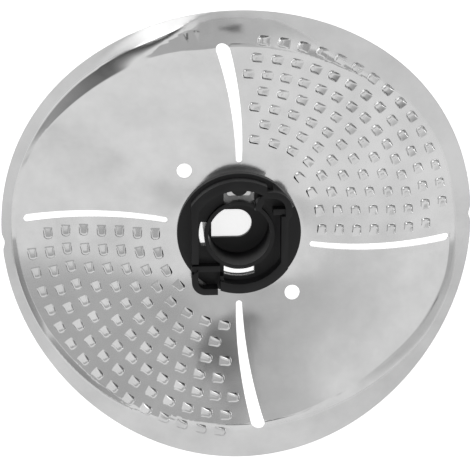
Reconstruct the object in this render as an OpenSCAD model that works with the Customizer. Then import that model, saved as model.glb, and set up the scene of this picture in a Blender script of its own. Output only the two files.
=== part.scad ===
// Grating disc for a food processor.
// A saucer of thin steel is pressed into a shallow saddle, with two plain and two toothed quarters
// parted by four curved slots, and a moulded hub holds it on the drive shaft.
// The origin is on the shaft's axis, at the foot of the hub. The hub's raised collar faces up.
// The side slots run near the X axis and the end slots near the Y axis.

/* [Disc] */
// Diameter of the disc across the side slots
disc_d = 170; // [166:1:180]
// How much shorter the disc is across the end slots, because its ends are bent up
bend_loss = 5.4; // [0:0.2:8]
// Thickness of the sheet
sheet_t = 0.7; // [0.5:0.1:1]
// Radius of the flat plate round the hub
plate_r = 25.5; // [25:0.1:26]
// Diameter of the disc's hole for the hub
hub_hole_d = 32.6; // [32:0.2:36]
// Width of the locating tab in the hub's hole
tab_w = 8.6; // [6:0.2:9]
// Length of the locating tab
tab_l = 2.8; // [1:0.2:3]

/* [Saddle] */
// Mean height of the panel's outer edge over the flat plate
saddle_mean = 3.7; // [0:0.1:6]
// Rise of the ends and fall of the sides about that mean
saddle_swing = 9.7; // [6:0.1:11]
// How much lower the middle of a plain quarter is
plain_drop = 3.3; // [0:0.1:5]
// Power of the curve from the plate out to the panel's edge
saddle_power = 1.25; // [1.1:0.05:1.6]
// Mean height of the rim over the flat plate
rim_mean = 3.7; // [0:0.1:6]
// Rise of the rim at the ends and fall at the sides
rim_swing = 8.75; // [6:0.05:10]

/* [Fold between panel and rim] */
// Distance of the fold from the rim at the sides
fold_side = 6; // [5:0.5:9]
// Distance of the fold from the rim at the ends
fold_end = 12; // [9:0.5:13]
// Distance of the fold from the rim in the middle of a plain quarter
fold_plain = 13.2; // [10:0.2:15]
// Distance of the fold from the rim in the middle of a toothed quarter
fold_toothed = 10; // [8:0.5:12]

/* [Slots] */
// Radius where a slot begins
slot_in = 26; // [26:0.1:27]
// Length of a side slot
side_slot_l = 51; // [40:0.5:52]
// Distance of a side slot's ends from the X axis
side_slot_off = 4.9; // [3:0.1:6]
// Bulge of a side slot beyond its ends
side_slot_bulge = 2.3; // [1:0.1:4]
// Width of a side slot at its inner end
side_slot_w1 = 1.9; // [1.5:0.1:3]
// Width of a side slot at its outer end
side_slot_w2 = 2.7; // [2:0.1:4]
// Length of an end slot
end_slot_l = 45.5; // [40:0.5:48]
// How far an end slot's outer end swings round
end_slot_swing = 6.8; // [4:0.1:8]
// Width of an end slot at its inner end
end_slot_w1 = 2.1; // [1.5:0.1:3]
// Width of an end slot at its outer end
end_slot_w2 = 4.9; // [3:0.1:5.5]

/* [Teeth] */
// Radius of the innermost row of teeth
row_r = 29.9; // [29:0.1:31]
// Distance between rows
row_pitch = 6.4; // [6:0.05:6.5]
// Width of a tooth
tooth_w = 3.4; // [2.6:0.1:3.8]
// Length of a tooth
tooth_l = 3.5; // [2.4:0.1:3.8]
// Height of a tooth
tooth_h = 1.2; // [0.8:0.1:1.6]
// Thickness of a tooth's drawn lip
lip_t = 0.45; // [0.3:0.05:0.6]
// Width of the mouth in front of a tooth's lip
mouth_w = 0.7; // [0.4:0.1:1]

/* [Locating holes and notches] */
// Diameter of the two locating holes
pin_hole_d = 5.4; // [4:0.1:6]
// Distance of a locating hole from the axis
pin_hole_r = 30.2; // [30:0.1:32]
// Direction of a locating hole
pin_hole_at = 129.8; // [125:0.5:135]
// Depth of the notch in the rim
notch_depth = 0.9; // [0.4:0.1:1.5]
// Length of the notch in the rim
notch_l = 7; // [5:0.5:9]
// Direction of the notch
notch_at = 2.6; // [0:0.2:5]

/* [Hub] */
// Radius of the hub's flange
flange_r = 22.2; // [21.6:0.1:23.5]
// Height of the flange over the disc
flange_h = 1.6; // [1:0.1:2.5]
// Thickness of the lower flange under the disc
under_h = 1.8; // [1:0.1:3]
// How much smaller the lower flange's radius is
under_step = 2.2; // [1:0.1:3]
// Gap between the hub's neck and its hole in the disc
neck_gap = 0.1; // [0.05:0.05:0.3]
// Height of the collar over the disc
collar_h = 7; // [5:0.1:9]
// Outer radius of the collar
collar_r = 20.9; // [20.5:0.1:21.3]
// Wall of the collar on its round sides
collar_wall = 3.4; // [2.8:0.1:3.6]
// Distance across the collar's flat sides
collar_flats = 34.4; // [33.4:0.1:36]
// Wall of the collar on its flat sides
flat_wall = 2.5; // [1.8:0.1:2.8]

/* [Socket] */
// Diameter of the bore for the drive shaft
bore_d = 22.4; // [20:0.1:22.8]
// Wall of the tube round the bore
tube_wall = 1.4; // [1:0.1:1.6]
// Height of the tube over the disc
tube_h = 4; // [3:0.1:5]
// Depth of the bore's floor under the disc
socket_depth = 10.6; // [8:0.1:14]
// Thickness of the bore's floor
floor_t = 1.6; // [1:0.1:3]
// Width of the drive opening in the floor
drive_w = 10.6; // [8:0.1:12]
// Reach of the drive opening to one side
drive_reach = 9.4; // [7:0.1:9.8]

/* [Windows between tube and collar] */
// Outer radius of the two end windows
end_window_r = 16.3; // [15:0.1:16.6]
// Width of the two end windows
end_window_w = 11; // [10:0.2:12]
// Outer radius of the side window
side_window_r = 14.4; // [13.8:0.1:14.6]
// Width of the side window
side_window_w = 9; // [6:0.2:10]
// Radius of the key over the locating tab
key_r = 3.2; // [2:0.1:4]
// Height of the key over the tab
key_h = 2.4; // [1.8:0.1:3.2]
// Gap between the key and the tab
key_gap = 0.2; // [0.1:0.1:0.5]

/* [Hooks at the collar's corners] */
// Where the collar stops beside the lower hook, from the Y axis
lower_cut_x = 7; // [6:0.1:8]
// Where the collar stops above the lower hook, from the X axis
lower_cut_y = 9.6; // [9:0.1:10.5]
// Gap between the lower hook and the collar's end
hook_gap = 0.9; // [0.5:0.1:1.5]
// Outer radius of the lower hook
lower_hook_r = 4.9; // [4.4:0.1:5.2]
// Wall of both hooks
hook_wall = 2.3; // [1.6:0.1:2.6]
// Distance of the lower hook's centre from the X axis
lower_hook_y = 16.4; // [15.6:0.1:17]
// Length of the lower hook's straight wall
lower_hook_l = 2.9; // [1:0.1:3.4]
// Where the collar stops beside the upper hook, from the Y axis
upper_cut_x = 9.6; // [9:0.1:10]
// Where the collar stops under the upper hook, from the X axis
upper_cut_y = 7.6; // [7:0.1:8.4]
// Outer radius of the upper hook
upper_hook_r = 6.6; // [6:0.1:7]
// Distance of the upper hook's centre from the Y axis
upper_hook_x = 11.9; // [11.4:0.1:12.2]
// Distance of the upper hook's centre from the X axis
upper_hook_y = 10; // [9:0.1:10.6]
// How far the upper hook's foot flares out
upper_hook_flare = 2.3; // [0.5:0.1:3]
// Thickness of the cross ribs
rib_t = 2.1; // [1.2:0.1:2.4]
// How much lower the ribs are than the collar
rib_drop = 1.4; // [0.5:0.1:2.5]
// Distance of the lower rib from the X axis
lower_rib_y = 11.9; // [11:0.1:12.4]
// Distance of the upper rib from the X axis
upper_rib_y = 8.9; // [8.2:0.1:9.6]

/* [Hidden] */
$fn = 96;
// How far a cutter runs past the face that it cuts
over = 1;

// Heights from the foot of the hub
plate_z = socket_depth + floor_t;
under_z = plate_z - sheet_t - under_h;

function between(a, b, t) = a + (b - a) * t;
function smooth(t) = t <= 0 ? 0 : t >= 1 ? 1 : t * t * (3 - 2 * t);

// Outline of the disc, and the fold between its panel and its rim
disc_r = disc_d / 2;
function squash(a) = 1 - bend_loss / disc_d * pow(sin(a), 2);
function rim_r(a) = disc_r * squash(a);
function is_plain(a) = sin(2 * a) < 0;
function fold_w(a) =
    between(fold_side, fold_end, pow(sin(a), 2))
    + ((is_plain(a) ? fold_plain : fold_toothed) - (fold_side + fold_end) / 2) * pow(sin(2 * a), 2);
function fold_r(a) = rim_r(a) - fold_w(a);

// Height of the sheet's top over the flat plate: the panel is a saddle, and the fold climbs from it
// to the rim over a share of the rim's width
function panel_rise(a) =
    saddle_mean - saddle_swing * cos(2 * a) - (is_plain(a) ? plain_drop * pow(sin(2 * a), 2) : 0);
function panel_z(r, a) =
    panel_rise(a) * pow(max(0, r - plate_r) / (fold_r(a) - plate_r), saddle_power);
function rim_z(a) = rim_mean - rim_swing * cos(2 * a);
climb_plain = 0.72;
climb_toothed = 0.5;
function climb_share(a) = between(is_plain(a) ? climb_plain : climb_toothed, 1, pow(sin(a), 8));
function climb(r, a) = smooth((r - fold_r(a)) / (fold_w(a) * climb_share(a)));
function top_z(r, a) =
    r <= fold_r(a) ? panel_z(r, a) : between(panel_rise(a), rim_z(a), climb(r, a));

// A point on the sheet. Side 0 is its top and side 1 its underside.
function on_sheet(r, a, side, lift = 0) =
    [r * cos(a), r * sin(a), plate_z + top_z(r, a) + lift - side * sheet_t];

// Slots lie on the borders between quarters: 0 and 2 are the side slots, 1 and 3 the end slots.
// A slot's middle line is an arc or a bend, and its half width follows a circle at either end.
side_arc_r = (pow(side_slot_l / 2, 2) + pow(side_slot_bulge, 2)) / (2 * side_slot_bulge);
side_mid = slot_in + side_slot_l / 2;
function side_line(r) =
    side_arc_r - side_slot_off - side_slot_bulge - sqrt(pow(side_arc_r, 2) - pow(r - side_mid, 2));
function end_line(r) = end_slot_swing * pow(max(0, r - slot_in) / end_slot_l, 2);
function is_side(b) = b % 2 == 0;
function slot_out(b) = slot_in + (is_side(b) ? side_slot_l : end_slot_l);
function slot_w(b, t) =
    is_side(b) ? between(side_slot_w1, side_slot_w2, t) : between(end_slot_w1, end_slot_w2, t);
function rounded(d, w) = d >= w ? w : sqrt(w * w - pow(w - d, 2));
function half_w(b, r) =
    r <= slot_in || r >= slot_out(b) ? 0
    : let (w = slot_w(b, (r - slot_in) / (slot_out(b) - slot_in)) / 2)
      min(rounded(r - slot_in, w), rounded(slot_out(b) - r, w));

// A point of a border. Edge 1 is the slot's edge towards larger angles and edge -1 the other one.
function border_xy(b, r, edge) =
    let (turn = b < 2 ? 1 : -1, off = half_w(b, r) * edge)
    is_side(b)
    ? let (y = side_line(r) + off) [turn * sqrt(r * r - y * y), turn * y]
    : let (x = -end_line(r) - off) [turn * x, turn * sqrt(r * r - x * x)];
function angle_of(p, q) = let (a = atan2(p.y, p.x)) a < 90 * q - 30 ? a + 360 : a;
function on_border(b, r, edge, side) =
    let (p = border_xy(b, r, edge), a = atan2(p.y, p.x)) on_sheet(norm(p), a, side);
// Radii at which a slot's round ends have a point
round_steps = [0, 30, 60, 90];
function stops(b) =
    concat([for (s = round_steps) slot_in + slot_w(b, 0) / 2 * (1 - cos(s))],
           [for (s = [3:-1:0]) slot_out(b) - slot_w(b, 1) / 2 * (1 - cos(round_steps[s]))]);

// Rows of teeth: how many, direction of the first one and the angle between two
rows = [[4, 0.6, 14.1], [8, 0, 11.6], [9, -0.8, 9.8], [11, -0.8, 8.45],
        [12, -1, 7.5], [15, -0.5, 6.28], [15, 0.5, 6.05], [15, 6.6, 5.52]];
function row_at(k) = row_r + row_pitch * k;
function half_angle(k) = tooth_l / 2 / row_at(k) * 180 / PI;
function tooth_at(k, j) = rows[k][1] + rows[k][2] * j;

// Rings: the hub's hole, the plate's edge, two for each row of teeth and then the rim's
core_r = hub_hole_d / 2 - tab_l - over;
first_row_ring = 2;
first_rim_ring = first_row_ring + 2 * len(rows);
rim_rings = 5;
last_ring = first_rim_ring + rim_rings - 1;
function row_of(i) = floor((i - first_row_ring) / 2);
function ring_r(i, a) =
    i == 0 ? core_r
    : i == 1 ? plate_r
    : i < first_rim_ring ? squash(a) * row_at(row_of(i)) + tooth_w / 2 * (i % 2 == 0 ? -1 : 1)
    : between(ring_r(first_rim_ring - 1, a), rim_r(a), (i - first_rim_ring + 1) / rim_rings);
function border_r(i, b) = ring_r(i, 90 * b);

// Angles of a ring's points inside a quarter. On a row of teeth they are the back and front of each
// tooth and then a few more up to the border. On any other ring they are even steps.
inner_steps = 12;
panel_steps = 9;
rim_steps = 20;
fill_step = 9;
function is_row(q, i) = q % 2 == 0 && i >= first_row_ring && i < first_rim_ring;
function even(a0, a1, n) = [for (s = [1:n - 1]) between(a0, a1, s / n)];
function tooth_angles(q, k, a1) =
    let (n = rows[k][0], last = 90 * q + tooth_at(k, n - 1) + half_angle(k),
         fills = max(1, round((90 * (q + 1) - last) / fill_step)))
    concat([for (j = [0:n - 1]) each [90 * q + tooth_at(k, j) - half_angle(k),
                                      90 * q + tooth_at(k, j) + half_angle(k)]],
           even(last, a1, fills + 1));
function ring_angles(q, i, a0, a1) =
    is_row(q, i) ? tooth_angles(q, row_of(i), a1)
    : even(a0, a1, i < first_row_ring ? inner_steps : i < first_rim_ring ? panel_steps : rim_steps);

// A ring inside a quarter, as a list of angles and points from border to border
function ring(q, i, side) =
    let (b1 = (q + 1) % 4,
         p0 = border_xy(q, border_r(i, q), 1), p1 = border_xy(b1, border_r(i, b1), -1),
         a0 = angle_of(p0, q), a1 = angle_of(p1, q + 1))
    concat([[a0, on_border(q, border_r(i, q), 1, side)]],
           [for (a = ring_angles(q, i, a0, a1)) [a, on_sheet(ring_r(i, a), a, side)]],
           [[a1, on_border(b1, border_r(i, b1), -1, side)]]);

// Points of a border from ring i to the next one
function border(b, i, edge, side) =
    let (r0 = border_r(i, b), r1 = border_r(i + 1, b))
    [for (r = concat([r0], [for (s = stops(b)) if (s > r0 && s < r1) s], [r1]))
        on_border(b, r, edge, side)];

// Triangles are lists of three points, anticlockwise seen from outside
function quad(a, b, c, d) = [[a, b, c], [a, c, d]];
function turned(tris) = [for (t = tris) [t[2], t[1], t[0]]];
// Walls under the open edges of the top, which run through the points of line
function walls(line, under) =
    [for (s = [0:len(line) - 2]) each quad(line[s + 1], line[s], under[s], under[s + 1])];

// Fans close a strip at its two borders, with a triangle for each point of the border
function start_fan(line, tip) = [for (s = [0:len(line) - 2]) [line[s], line[s + 1], tip]];
function end_fan(line, tip) = [for (s = [0:len(line) - 2]) [tip, line[s + 1], line[s]]];

// The strip between two rings, which may differ in their number of points: the triangles take
// the middles of both rings' steps in order, the lower ring's first where two are level
level = 1e-9;
function middles(points) = [for (s = [0:len(points) - 2]) (points[s][0] + points[s + 1][0]) / 2];
function count_below(list, limit) = len([for (v = list) if (v < limit) v]);
function zipper(low, high) =
    let (n = len(low) - 1, mid_low = middles(low), mid_high = middles(high),
         inner = [for (s = [1:1:n - 2]) mid_low[s]])
    concat([for (s = [1:1:n - 2])
               [low[s][1], high[count_below(mid_high, mid_low[s] - level)][1], low[s + 1][1]]],
           [for (s = [0:len(high) - 2])
               let (tip = 1 + count_below(inner, mid_high[s] + level))
               [low[tip][1], high[s][1], high[s + 1][1]]]);

// Points of one tooth: its corners on both rings, the crown, the lip and the mouth's front
crown_share = 0.45;
crown_h = 0.75;
flank_share = 0.27;
function on_row(q, k, a, off, side, lift) =
    on_sheet(squash(a) * row_at(k) + off * tooth_w, a, side, lift);
function lip_line(q, k, j, side, low, high) =
    let (a = 90 * q + tooth_at(k, j) + half_angle(k),
         rise = side == 0 ? tooth_h : tooth_h - lip_t + sheet_t)
    [high[2 + 2 * j][1], on_row(q, k, a, flank_share, side, rise),
     on_row(q, k, a, -flank_share, side, rise), low[2 + 2 * j][1]];
function mouth_line(q, k, j, side, low, high) =
    let (a = 90 * q + tooth_at(k, j) + half_angle(k) + mouth_w / row_at(k) * 180 / PI)
    [low[2 + 2 * j][1], on_row(q, k, a, -flank_share, side, 0),
     on_row(q, k, a, flank_share, side, 0), high[2 + 2 * j][1]];

// The hood of one tooth rises from its back to the lip. Underneath it needs no crown.
function hood(q, k, j, side, low, high) =
    let (lip = lip_line(q, k, j, side, low, high), back_low = low[1 + 2 * j][1],
         back_high = high[1 + 2 * j][1],
         a = 90 * q + tooth_at(k, j) + half_angle(k) * (2 * crown_share - 1),
         crown = [for (off = [-flank_share, flank_share]) on_row(q, k, a, off, side, tooth_h * crown_h)])
    side == 0
    ? concat(quad(back_low, back_high, crown[1], crown[0]), quad(crown[0], crown[1], lip[1], lip[2]),
             quad(back_low, crown[0], lip[2], lip[3]), quad(back_high, lip[0], lip[1], crown[1]))
    : concat(quad(back_low, back_high, lip[1], lip[2]), [[back_low, lip[2], lip[3]]],
             [[back_high, lip[0], lip[1]]]);
// The flat from a tooth's mouth to the next point on both rings
function mouth_flat(q, k, j, side, low, high) =
    let (m = mouth_line(q, k, j, side, low, high), next_low = low[3 + 2 * j][1],
         next_high = high[3 + 2 * j][1])
    [[m[0], m[1], next_low], [m[1], m[2], next_low], [m[2], next_high, next_low],
     [m[2], m[3], next_high]];
function tooth_row(q, k, side, low, high) =
    let (n = rows[k][0], end = len(low) - 1)
    concat([[low[1][1], high[0][1], high[1][1]], [low[end - 1][1], high[end - 1][1], high[end][1]]],
           [for (j = [0:n - 1]) each concat(hood(q, k, j, side, low, high),
                                            mouth_flat(q, k, j, side, low, high))],
           [for (s = [2 * n + 1:1:end - 2])
               each quad(low[s][1], high[s][1], high[s + 1][1], low[s + 1][1])]);

// One side of a quarter, and the walls between both sides
function skin(q, side) =
    [for (i = [0:last_ring - 1])
        let (low = ring(q, i, side), high = ring(q, i + 1, side), b1 = (q + 1) % 4)
        each concat(start_fan(border(q, i, 1, side), low[1][1]),
                    end_fan(border(b1, i, -1, side), low[len(low) - 2][1]),
                    is_row(q, i) && i % 2 == 0 ? tooth_row(q, row_of(i), side, low, high)
                                               : zipper(low, high))];
function mouth_walls(q) =
    [for (k = [0:len(rows) - 1])
        let (i = first_row_ring + 2 * k, low = ring(q, i, 0), high = ring(q, i + 1, 0),
             low1 = ring(q, i, 1), high1 = ring(q, i + 1, 1))
        for (j = [0:rows[k][0] - 1])
            each concat(walls(lip_line(q, k, j, 0, low, high), lip_line(q, k, j, 1, low1, high1)),
                        walls(mouth_line(q, k, j, 0, low, high), mouth_line(q, k, j, 1, low1, high1)))];
function reversed(list) = [for (s = [len(list) - 1:-1:0]) list[s]];
function only_points(points) = [for (p = points) p[1]];
// A border has walls only where its slot is open
function is_open(b, i) =
    border_r(i + 1, b) > slot_in && border_r(i, b) < slot_out(b);
function slot_part(b, i, edge, side) =
    let (r0 = max(border_r(i, b), slot_in), r1 = min(border_r(i + 1, b), slot_out(b)))
    [for (r = concat([r0], [for (s = stops(b)) if (s > r0 && s < r1) s], [r1]))
        on_border(b, r, edge, side)];
function slot_walls(b, i) =
    concat(walls(slot_part(b, i, 1, 0), slot_part(b, i, 1, 1)),
           walls(reversed(slot_part(b, i, -1, 0)), reversed(slot_part(b, i, -1, 1))));
function edge_walls(q) =
    concat(walls(only_points(ring(q, last_ring, 0)), only_points(ring(q, last_ring, 1))),
           walls(reversed(only_points(ring(q, 0, 0))), reversed(only_points(ring(q, 0, 1)))),
           [for (i = [0:last_ring - 1]) if (is_open(q, i)) each slot_walls(q, i)]);

sheet_tris =
    [for (q = [0:3]) each concat(skin(q, 0), turned(skin(q, 1)), edge_walls(q),
                                 q % 2 == 0 ? mouth_walls(q) : [])];

module pressed_sheet() {
    polyhedron(points = [for (t = sheet_tris) each t],
               faces = [for (s = [0:len(sheet_tris) - 1]) [3 * s + 2, 3 * s + 1, 3 * s]],
               convexity = 10);
}

// The hub's hole leaves the locating tab standing
module hub_hole() {
    difference() {
        circle(d = hub_hole_d);
        translate([-tab_w / 2, hub_hole_d / 2 - tab_l]) square([tab_w, hub_hole_d]);
    }
}

module half_turns() {
    for (turn = [0, 180]) rotate(turn) children();
}

notch_r = (pow(notch_l / 2, 2) + pow(notch_depth, 2)) / (2 * notch_depth);
cutter_h = 4 * (saddle_mean + saddle_swing);

module grating_disc() {
    color("#c9cacb") difference() {
        pressed_sheet();
        translate([0, 0, plate_z - sheet_t - over]) linear_extrude(sheet_t + 2 * over) hub_hole();
        half_turns() {
            rotate(pin_hole_at) translate([pin_hole_r, 0, 0])
                cylinder(d = pin_hole_d, h = cutter_h);
            rotate(notch_at) translate([rim_r(notch_at) - notch_depth + notch_r, 0, -over])
                cylinder(r = notch_r, h = cutter_h);
        }
    }
}

// Outline of the collar: a circle with two flat sides
module flat_sided(r, flats) {
    intersection() {
        circle(r = r);
        square([flats, 2 * r], center = true);
    }
}

// The collar's ring, with two opposite corners cut away for the hooks
module collar_ring() {
    difference() {
        flat_sided(collar_r, collar_flats);
        flat_sided(collar_r - collar_wall, collar_flats - 2 * flat_wall);
        translate([-lower_cut_x - collar_r, -lower_cut_y - collar_r]) square(collar_r);
        translate([upper_cut_x, upper_cut_y]) square(collar_r);
    }
}

// A bent wall round the origin's lower left, with one leg up and one leg to the right
module bent_wall(r, wall, up, along) {
    difference() {
        union() {
            circle(r = r);
            translate([-r, 0]) square([r + along, up]);
            translate([0, -r]) square([along, r]);
        }
        circle(r = r - wall);
        translate([wall - r, 0]) square([2 * r, up + r]);
        translate([0, wall - r]) square([along + over, r]);
    }
}

lower_hook_x = collar_flats / 2 - lower_hook_r;
module lower_hook() {
    translate([-lower_hook_x, -lower_hook_y])
        bent_wall(lower_hook_r, hook_wall, lower_hook_l, lower_hook_x - lower_cut_x - hook_gap);
}
module upper_hook() {
    translate([upper_hook_x, upper_hook_y]) rotate(180)
        bent_wall(upper_hook_r, hook_wall, upper_hook_y - upper_cut_y, upper_hook_x - upper_cut_x);
}
// The upper hook's foot spreads over the flange as a part of a cone
module hook_foot() {
    intersection() {
        translate([upper_hook_x, upper_hook_y, 0]) difference() {
            cylinder(r1 = upper_hook_r + upper_hook_flare, r2 = upper_hook_r - hook_wall / 2, h = collar_h);
            translate([0, 0, -over]) cylinder(r = upper_hook_r - hook_wall, h = collar_h + 2 * over);
        }
        cylinder(r = flange_r, h = collar_h);
        translate([upper_hook_x, upper_hook_y, 0]) cube(flange_r);
    }
}

// Cross ribs run from the collar's flat sides to the tube
tube_r = bore_d / 2 + tube_wall;
nib_w = 1.2;
nib_l = 3.2;
module ribs() {
    translate([-collar_flats / 2, -lower_rib_y - rib_t / 2])
        square([collar_flats / 2 - lower_cut_x, rib_t]);
    translate([tube_r - tube_wall / 2, upper_rib_y - rib_t / 2])
        square([upper_hook_x + upper_hook_r - hook_wall / 2 - tube_r + tube_wall / 2, rib_t]);
    translate([-lower_cut_x, wall_y(lower_cut_x)]) square([nib_w, nib_l]);
}
// Height of the collar's lower wall at a distance from the Y axis
function wall_y(x) = -sqrt(pow(collar_r - collar_wall / 2, 2) - x * x);

module drive_opening() {
    circle(d = drive_w);
    translate([-drive_reach, -drive_w / 2]) square([drive_reach, drive_w]);
}

// Windows leave the tube whole
module windows() {
    difference() {
        union() {
            intersection() {
                circle(r = end_window_r);
                square([end_window_w, 2 * end_window_r], center = true);
            }
            intersection() {
                circle(r = side_window_r);
                translate([-side_window_r, -side_window_w / 2]) square([side_window_r, side_window_w]);
            }
        }
        circle(r = tube_r);
    }
}

module drive_hub() {
    color("#2b2b2c") difference() {
        union() {
            translate([0, 0, plate_z]) {
                cylinder(r = flange_r, h = flange_h);
                linear_extrude(collar_h) {
                    collar_ring();
                    lower_hook();
                    upper_hook();
                }
                hook_foot();
                linear_extrude(collar_h - rib_drop) ribs();
            }
            translate([0, 0, under_z]) {
                cylinder(r = flange_r - under_step, h = under_h);
                cylinder(r = hub_hole_d / 2 - neck_gap, h = plate_z - under_z + flange_h);
            }
            cylinder(r = tube_r, h = plate_z + tube_h);
        }
        translate([0, 0, floor_t]) cylinder(d = bore_d, h = plate_z + collar_h);
        translate([0, 0, -over]) linear_extrude(floor_t + 2 * over) drive_opening();
        translate([0, 0, under_z - over])
            linear_extrude(plate_z + flange_h - under_z + 2 * over) windows();
    }
    // The key bridges from the collar over the tab
    color("#2b2b2c") translate([0, 0, plate_z + key_gap]) linear_extrude(key_h - key_gap)
        intersection() {
            translate([0, collar_r - collar_wall]) circle(r = key_r);
            circle(r = collar_r - collar_wall / 2);
        }
}

grating_disc();
drive_hub();
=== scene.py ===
"""Looks of a food processor's grating disc.

The disc is one pressed sheet of stainless steel: a shallow saddle with two plain and two toothed
quarters, parted by four curved slots. A black moulded hub holds it on the drive shaft. The sheet's mesh
follows the same rules as the solid, at a finer pitch, and its teeth are raised by a Geometry Nodes tree.
The hub is the solid's own form with its moulded edges rounded.
"""

import logging
import math
from dataclasses import dataclass, field
from enum import Enum
from typing import Callable, Sequence

import bmesh
import bpy
import numpy as np
from mathutils import Matrix, Vector
from mathutils.geometry import delaunay_2d_cdt


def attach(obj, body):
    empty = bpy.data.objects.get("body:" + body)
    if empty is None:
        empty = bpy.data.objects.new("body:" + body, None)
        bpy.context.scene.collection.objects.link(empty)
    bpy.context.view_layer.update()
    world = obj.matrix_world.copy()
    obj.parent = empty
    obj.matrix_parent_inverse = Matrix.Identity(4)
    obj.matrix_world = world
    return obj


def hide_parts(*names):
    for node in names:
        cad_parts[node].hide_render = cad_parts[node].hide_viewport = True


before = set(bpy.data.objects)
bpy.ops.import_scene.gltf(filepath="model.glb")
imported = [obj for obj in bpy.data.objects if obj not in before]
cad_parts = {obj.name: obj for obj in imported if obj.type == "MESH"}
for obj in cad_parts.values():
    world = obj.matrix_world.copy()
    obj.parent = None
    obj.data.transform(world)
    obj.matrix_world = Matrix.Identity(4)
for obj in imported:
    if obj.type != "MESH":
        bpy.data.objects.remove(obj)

log = logging.getLogger("grating_disc")
MM = 0.001
BODY = "root"


class Slot(Enum):
    """Names of the two material slots."""

    STEEL = "steel_sheet"
    PLASTIC = "hub_plastic"


class Side(Enum):
    """The two edges of a slot: the one towards larger angles and the one towards smaller ones."""

    AFTER = 1
    BEFORE = -1


def linear(hex_colour: str) -> tuple[float, float, float, float]:
    """Turn an sRGB colour into linear values.

    Args:
        hex_colour: Six hex digits.

    Returns:
        Red, green, blue and an alpha of 1.
    """
    parts = [int(hex_colour[i:i + 2], 16) / 255 for i in (0, 2, 4)]
    low = [p / 12.92 if p <= 0.04045 else ((p + 0.055) / 1.055) ** 2.4 for p in parts]
    return (low[0], low[1], low[2], 1.0)


def between(start, end, share):
    """Blend from start to end by a share from 0 to 1."""
    return start + (end - start) * share


def smooth(share):
    """Ease a share in and out, held from 0 to 1."""
    held = np.clip(share, 0.0, 1.0)
    return held * held * (3 - 2 * held)


def add_node(tree: bpy.types.NodeTree, kind: str, settings: dict | None = None,
             links: dict | None = None) -> bpy.types.Node:
    """Add a node to a tree.

    Args:
        tree: The tree that gets the node.
        kind: The node's type.
        settings: Values by name: of the node itself, or of its inputs by name or place.
        links: Output sockets by the name or place of the input that they feed.

    Returns:
        The new node.
    """
    node = tree.nodes.new(kind)
    for name, value in (settings or {}).items():
        if isinstance(name, str) and hasattr(node, name):
            setattr(node, name, value)
        else:
            node.inputs[name].default_value = value
    for name, socket in (links or {}).items():
        tree.links.new(socket, node.inputs[name])
    return node


@dataclass(frozen=True)
class PolishedSteel:
    """Cold-rolled stainless sheet, pressed and softly polished: it mirrors the room, its rim less sharply."""

    colour: str = "eaeaea"
    worn_colour: str = "dcdcdc"
    roughness: float = 0.1
    worn_roughness: float = 0.16
    rim_roughness: float = 0.4
    cloud_mm: float = 17.0
    wave_mm: float = 15.0
    wave_depth_mm: float = 0.06
    grain_mm: float = 0.8
    grain_depth_mm: float = 0.0006
    scratch_mm: float = 1.6

    def material(self) -> bpy.types.Material:
        """Build the node material.

        Returns:
            The steel's material.
        """
        made = bpy.data.materials.new("polished_stainless_sheet")
        made.use_nodes = True
        tree = made.node_tree
        tree.nodes.clear()
        where = add_node(tree, "ShaderNodeTexCoord").outputs["Object"]
        # Clouds of wear make patches that are a little darker and scatter a little more light
        clouds = add_node(tree, "ShaderNodeTexNoise", {"Scale": 1 / (self.cloud_mm * MM), "Detail": 5.0,
                                                       "Roughness": 0.6}, {"Vector": where})
        cloud_share = add_node(tree, "ShaderNodeMapRange", {"From Min": 0.35, "From Max": 0.7},
                               {"Value": clouds.outputs[0]})
        shade = add_node(tree, "ShaderNodeMix", {"data_type": "RGBA", 6: linear(self.colour),
                                                 7: linear(self.worn_colour)},
                         {0: cloud_share.outputs[0]})
        rough = add_node(tree, "ShaderNodeMapRange", {"To Min": self.roughness,
                                                      "To Max": self.worn_roughness},
                         {"Value": cloud_share.outputs[0]})
        # The rim's brushed band, from the mesh's own attribute
        band = add_node(tree, "ShaderNodeAttribute", {"attribute_name": "brushed"}).outputs["Fac"]
        finish = add_node(tree, "ShaderNodeMix", {"data_type": "FLOAT", 3: self.rim_roughness},
                          {0: band, 2: rough.outputs[0]})
        # The pressed sheet isn't quite even: shallow waves bend what it mirrors
        waves = add_node(tree, "ShaderNodeTexNoise", {"Scale": 1 / (self.wave_mm * MM), "Detail": 1.5,
                                                      "Roughness": 0.4}, {"Vector": where})
        waved = add_node(tree, "ShaderNodeBump", {"Strength": 1.0, "Distance": self.wave_depth_mm * MM},
                         {"Height": waves.outputs[0]})
        # The rolled sheet's grain and fine scratches, drawn coarser than the real ones so that they show
        grain = add_node(tree, "ShaderNodeTexNoise", {"Scale": 1 / (self.grain_mm * MM), "Detail": 4.0,
                                                      "Roughness": 0.7}, {"Vector": where})
        stretched = add_node(tree, "ShaderNodeMapping", {"Scale": (1.0, 0.05, 1.0), "Rotation":
                                                         (0.0, 0.0, math.radians(24))}, {"Vector": where})
        scratches = add_node(tree, "ShaderNodeTexNoise", {"Scale": 1 / (self.scratch_mm * MM),
                                                          "Detail": 3.0, "Roughness": 0.6},
                             {"Vector": stretched.outputs[0]})
        both = add_node(tree, "ShaderNodeMath", {"operation": "ADD"},
                        {0: grain.outputs[0], 1: scratches.outputs[0]})
        bump = add_node(tree, "ShaderNodeBump", {"Strength": 1.0, "Distance": self.grain_depth_mm * MM},
                        {"Height": both.outputs[0], "Normal": waved.outputs[0]})
        shader = add_node(tree, "ShaderNodeBsdfPrincipled", {"Metallic": 1.0},
                          {"Base Color": shade.outputs[2], "Roughness": finish.outputs[0],
                           "Normal": bump.outputs[0]})
        add_node(tree, "ShaderNodeOutputMaterial", None, {"Surface": shader.outputs[0]})
        return made


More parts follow.
